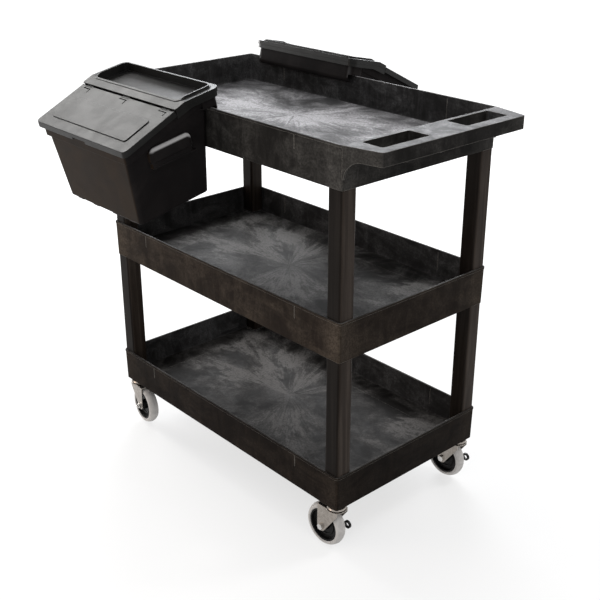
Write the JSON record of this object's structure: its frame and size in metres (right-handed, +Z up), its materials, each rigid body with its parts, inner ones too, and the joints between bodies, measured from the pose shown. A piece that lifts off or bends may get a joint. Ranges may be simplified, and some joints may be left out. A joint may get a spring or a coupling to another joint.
{
  "type": "rolling utility cart",
  "caption": "Rolling utility cart with three tub shelves on square legs, swivel casters, an end push handle and two lidded bins hooked over the top shelf's long sides.",
  "frame": {"origin": "on the floor, at the middle of the overall length, handle included, and midway between the long sides", "axes": "+Z up, +X towards the push handle, -Y towards the long side called front"},
  "size_m": [0.9024, 0.9014, 0.9755],
  "materials": {
    "shelf_plastic": "satin structural-foam moulding with faint swirls",
    "leg_plastic": "satin",
    "bin_plastic": "satin",
    "lid_plastic": "satin",
    "zinc_plate": "bright zinc plate",
    "steel": "plain steel",
    "hub_plastic": "satin",
    "tread_rubber": "matt, non-marking grey",
    "lever_plastic": "satin"
  },
  "bodies": {
    "frame": {"bottom_shelf": "shelf_plastic", "middle_shelf": "shelf_plastic", "top_shelf": "shelf_plastic", "lower_leg_front_handle": "leg_plastic", "upper_leg_front_handle": "leg_plastic", "lower_leg_front_plain": "leg_plastic", "upper_leg_front_plain": "leg_plastic", "lower_leg_rear_handle": "leg_plastic", "upper_leg_rear_handle": "leg_plastic", "lower_leg_rear_plain": "leg_plastic", "upper_leg_rear_plain": "leg_plastic", "caster_stem_front_handle": "zinc_plate", "caster_stem_front_plain": "zinc_plate", "caster_stem_rear_handle": "zinc_plate", "caster_stem_rear_plain": "zinc_plate"},
    "swivel_front_handle": {"caster_fork_front_handle": "zinc_plate", "race_balls_front_handle": "steel", "axle_bolt_front_handle": "steel", "axle_nut_front_handle": "steel"},
    "wheel_front_handle": {"wheel_bush_front_handle": "steel", "wheel_hub_front_handle": "hub_plastic", "wheel_tyre_front_handle": "tread_rubber"},
    "brake_front_handle": {"brake_lever_front_handle": "lever_plastic"},
    "swivel_front_plain": {"caster_fork_front_plain": "zinc_plate", "race_balls_front_plain": "steel", "axle_bolt_front_plain": "steel", "axle_nut_front_plain": "steel"},
    "wheel_front_plain": {"wheel_bush_front_plain": "steel", "wheel_hub_front_plain": "hub_plastic", "wheel_tyre_front_plain": "tread_rubber"},
    "swivel_rear_handle": {"caster_fork_rear_handle": "zinc_plate", "race_balls_rear_handle": "steel", "axle_bolt_rear_handle": "steel", "axle_nut_rear_handle": "steel"},
    "wheel_rear_handle": {"wheel_bush_rear_handle": "steel", "wheel_hub_rear_handle": "hub_plastic", "wheel_tyre_rear_handle": "tread_rubber"},
    "brake_rear_handle": {"brake_lever_rear_handle": "lever_plastic"},
    "swivel_rear_plain": {"caster_fork_rear_plain": "zinc_plate", "race_balls_rear_plain": "steel", "axle_bolt_rear_plain": "steel", "axle_nut_rear_plain": "steel"},
    "wheel_rear_plain": {"wheel_bush_rear_plain": "steel", "wheel_hub_rear_plain": "hub_plastic", "wheel_tyre_rear_plain": "tread_rubber"},
    "bin_front": {"bin_front_body": "bin_plastic", "bin_front_rear_lid": "lid_plastic"},
    "flap_front": {"bin_front_flap": "lid_plastic"},
    "bin_rear": {"bin_rear_body": "bin_plastic", "bin_rear_rear_lid": "lid_plastic"},
    "flap_rear": {"bin_rear_flap": "lid_plastic"}
  },
  "joints": [
    {"name": "swivel_front_handle", "type": "hinge", "parent": "frame", "child": "swivel_front_handle", "pos_m": [0.34275, -0.2025, 0.104], "axis": [0, 0, 1], "continuous": true},
    {"name": "wheel_front_handle", "type": "hinge", "parent": "swivel_front_handle", "child": "wheel_front_handle", "pos_m": [0.31278, -0.20378, 0.0508], "axis": [0.0427, -0.9991, 0], "continuous": true},
    {"name": "brake_front_handle", "type": "hinge", "parent": "swivel_front_handle", "child": "brake_front_handle", "pos_m": [0.31278, -0.20378, 0.0508], "axis": [-0.0427, 0.9991, 0], "range_deg": [0, 18]},
    {"name": "swivel_front_plain", "type": "hinge", "parent": "frame", "child": "swivel_front_plain", "pos_m": [-0.42525, -0.2025, 0.104], "axis": [0, 0, 1], "continuous": true},
    {"name": "wheel_front_plain", "type": "hinge", "parent": "swivel_front_plain", "child": "wheel_front_plain", "pos_m": [-0.39543, -0.20576, 0.0508], "axis": [0.1087, 0.9941, 0], "continuous": true},
    {"name": "swivel_rear_handle", "type": "hinge", "parent": "frame", "child": "swivel_rear_handle", "pos_m": [0.34275, 0.2025, 0.104], "axis": [0, 0, 1], "continuous": true},
    {"name": "wheel_rear_handle", "type": "hinge", "parent": "swivel_rear_handle", "child": "wheel_rear_handle", "pos_m": [0.31275, 0.20228, 0.0508], "axis": [0.0075, -1, 0], "continuous": true},
    {"name": "brake_rear_handle", "type": "hinge", "parent": "swivel_rear_handle", "child": "brake_rear_handle", "pos_m": [0.31275, 0.20228, 0.0508], "axis": [-0.0075, 1, 0], "range_deg": [0, 18]},
    {"name": "swivel_rear_plain", "type": "hinge", "parent": "frame", "child": "swivel_rear_plain", "pos_m": [-0.42525, 0.2025, 0.104], "axis": [0, 0, 1], "continuous": true},
    {"name": "wheel_rear_plain", "type": "hinge", "parent": "swivel_rear_plain", "child": "wheel_rear_plain", "pos_m": [-0.39614, 0.20976, 0.0508], "axis": [-0.2419, 0.9703, 0], "continuous": true},
    {"name": "bin_front_lift", "type": "slide", "parent": "frame", "child": "bin_front", "axis": [0, -0.2079, 0.9781], "range_m": [0, 0.22]},
    {"name": "flap_front_hinge", "type": "hinge", "parent": "bin_front", "child": "flap_front", "pos_m": [-0.20125, -0.32568, 0.93314], "axis": [-1, 0, 0], "range_deg": [0, 100]},
    {"name": "bin_rear_lift", "type": "slide", "parent": "frame", "child": "bin_rear", "axis": [0, 0.2079, 0.9781], "range_m": [0, 0.22]},
    {"name": "flap_rear_hinge", "type": "hinge", "parent": "bin_rear", "child": "flap_rear", "pos_m": [-0.22625, 0.32568, 0.93314], "axis": [1, 0, 0], "range_deg": [0, 100]}
  ]
}
